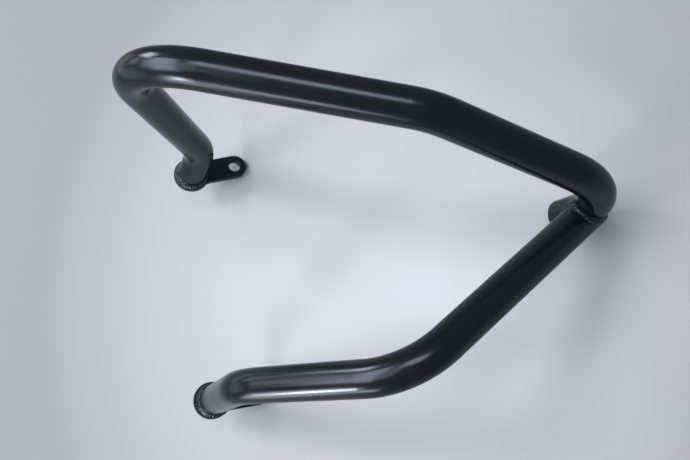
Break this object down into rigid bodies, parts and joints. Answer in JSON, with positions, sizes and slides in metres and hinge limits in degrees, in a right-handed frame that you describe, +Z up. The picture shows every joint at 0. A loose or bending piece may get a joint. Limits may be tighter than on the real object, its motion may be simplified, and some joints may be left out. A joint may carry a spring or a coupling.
{
  "type": "motorcycle crash bar",
  "caption": "Engine crash bar for one side of a motorcycle: two bent steel tubes welded into a loop, with mounting tabs and a threaded stub.",
  "frame": {"origin": "centre of the bar's box in plan, on the floor it rests on, under the tips of its two tabs and the rim of its stub", "axes": "+Z up from the floor, +X along the long upper straight from the tabs to the outer turn, +Y towards the upper tube"},
  "size_m": [0.3858, 0.2567, 0.2533],
  "materials": {
    "powder_coat": "satin",
    "coated_weld": "semi-gloss",
    "zinc_steel": "satin"
  },
  "bodies": {
    "root": {"upper_tube": "powder_coat", "lower_tube": "powder_coat", "upper_tab": "powder_coat", "lower_tab": "powder_coat", "stub_bush": "zinc_steel", "upper_tab_weld": "coated_weld", "lower_tab_weld": "coated_weld", "joint_weld": "coated_weld", "bush_weld": "coated_weld"}
  },
  "joints": []
}
